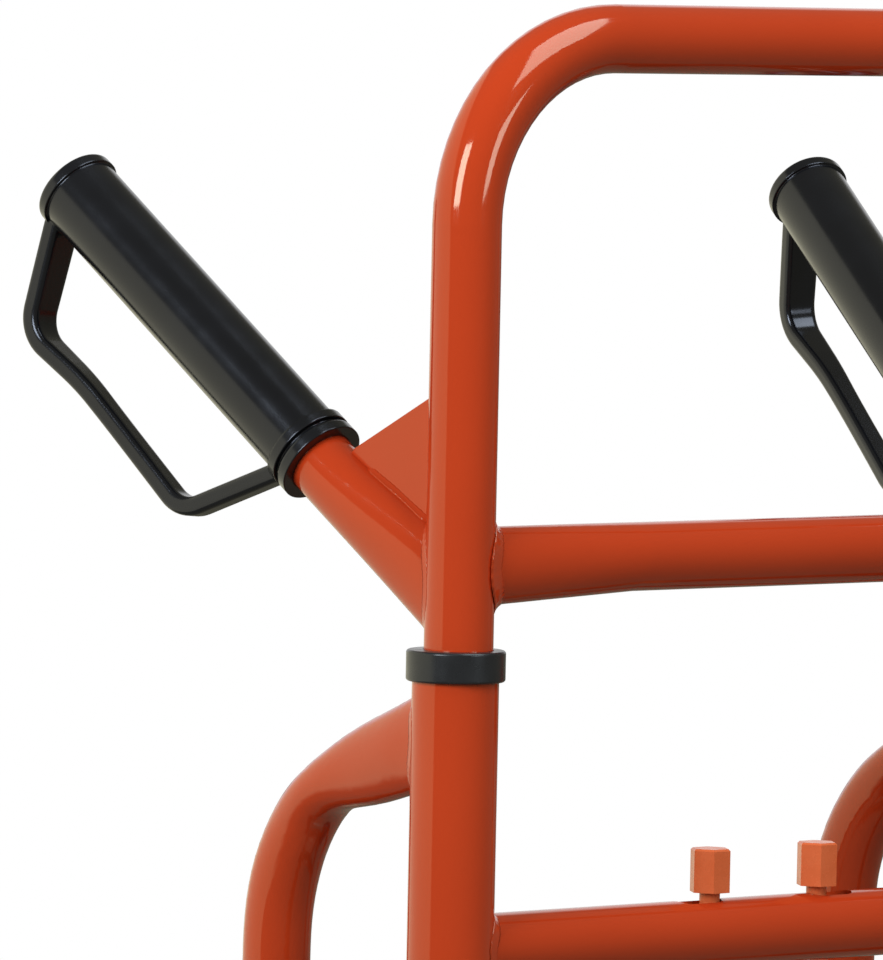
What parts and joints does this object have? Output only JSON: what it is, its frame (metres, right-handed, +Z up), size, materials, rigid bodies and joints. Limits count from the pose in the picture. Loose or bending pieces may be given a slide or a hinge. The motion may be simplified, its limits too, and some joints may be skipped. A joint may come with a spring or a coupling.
{
  "type": "sack truck",
  "caption": "Upright steel sack truck with a telescoping hoop, splayed handles with finger guards, a squeeze lock, curved rear skids, a toe plate and air tyres.",
  "frame": {"origin": "on the floor, under the toe plate, below the middle between the two uprights' axes", "axes": "+X to the right as seen from the load side, +Y back to the user, +Z up along the uprights"},
  "size_m": [0.591, 0.485, 1.05],
  "materials": {
    "frame_paint": "gloss",
    "grip_plastic": "satin",
    "black_plastic": "satin",
    "zinc_steel": "zinc plated",
    "spring_steel": "drawn wire",
    "tyre_rubber": "matt",
    "tube_rubber": "matt",
    "rim_paint": "powder coat"
  },
  "bodies": {
    "frame": {"left_upright": "frame_paint", "right_upright": "frame_paint", "left_collar": "black_plastic", "right_collar": "black_plastic", "left_skid": "frame_paint", "right_skid": "frame_paint", "left_axle_bracket": "frame_paint", "right_axle_bracket": "frame_paint", "left_toe_rib": "frame_paint", "right_toe_rib": "frame_paint", "left_axle_spacer": "zinc_steel", "right_axle_spacer": "zinc_steel", "left_axle_cap": "black_plastic", "right_axle_cap": "black_plastic", "left_bolt_guide": "black_plastic", "right_bolt_guide": "black_plastic", "lock_cross_bar": "frame_paint", "middle_cross_bar": "frame_paint", "bottom_cross_bar": "frame_paint", "toe_plate": "frame_paint", "axle": "zinc_steel", "axle_washers": "zinc_steel", "lock_spring": "spring_steel"},
    "hoop": {"hoop_tube": "frame_paint", "hoop_cross_bar": "frame_paint", "left_handle_tube": "frame_paint", "right_handle_tube": "frame_paint", "left_handle_gusset": "frame_paint", "right_handle_gusset": "frame_paint", "left_grip": "grip_plastic", "right_grip": "grip_plastic", "left_leg_glide": "black_plastic", "right_leg_glide": "black_plastic"},
    "left_lock": {"left_lock_bolt": "zinc_steel", "left_release_peg": "frame_paint"},
    "right_lock": {"right_lock_bolt": "zinc_steel", "right_release_peg": "frame_paint"},
    "left_wheel": {"left_tyre": "tyre_rubber", "left_inner_tube": "tube_rubber", "left_rim_outer_half": "rim_paint", "left_rim_inner_half": "rim_paint", "left_hub": "rim_paint", "left_wheel_bearings": "zinc_steel", "left_rim_bolts": "zinc_steel", "left_valve": "tube_rubber"},
    "right_wheel": {"right_tyre": "tyre_rubber", "right_inner_tube": "tube_rubber", "right_rim_outer_half": "rim_paint", "right_rim_inner_half": "rim_paint", "right_hub": "rim_paint", "right_wheel_bearings": "zinc_steel", "right_rim_bolts": "zinc_steel", "right_valve": "tube_rubber"}
  },
  "joints": [
    {"name": "hoop_slide", "type": "slide", "parent": "frame", "child": "hoop", "axis": [0, 0, 1], "range_m": [0, 0.25]},
    {"name": "left_lock_slide", "type": "slide", "parent": "frame", "child": "left_lock", "axis": [-1, 0, 0], "range_m": [0, 0.012], "stiffness_N_per_m": 800, "springref_m": 0.02, "deforming": ["lock_spring"]},
    {"name": "right_lock_slide", "type": "slide", "parent": "frame", "child": "right_lock", "axis": [1, 0, 0], "range_m": [0, 0.012], "stiffness_N_per_m": 800, "springref_m": 0.02, "deforming": ["lock_spring"]},
    {"name": "left_wheel_turn", "type": "hinge", "parent": "frame", "child": "left_wheel", "pos_m": [-0.24, 0.125, 0.13], "axis": [1, 0, 0], "continuous": true},
    {"name": "right_wheel_turn", "type": "hinge", "parent": "frame", "child": "right_wheel", "pos_m": [0.24, 0.125, 0.13], "axis": [1, 0, 0], "continuous": true}
  ]
}
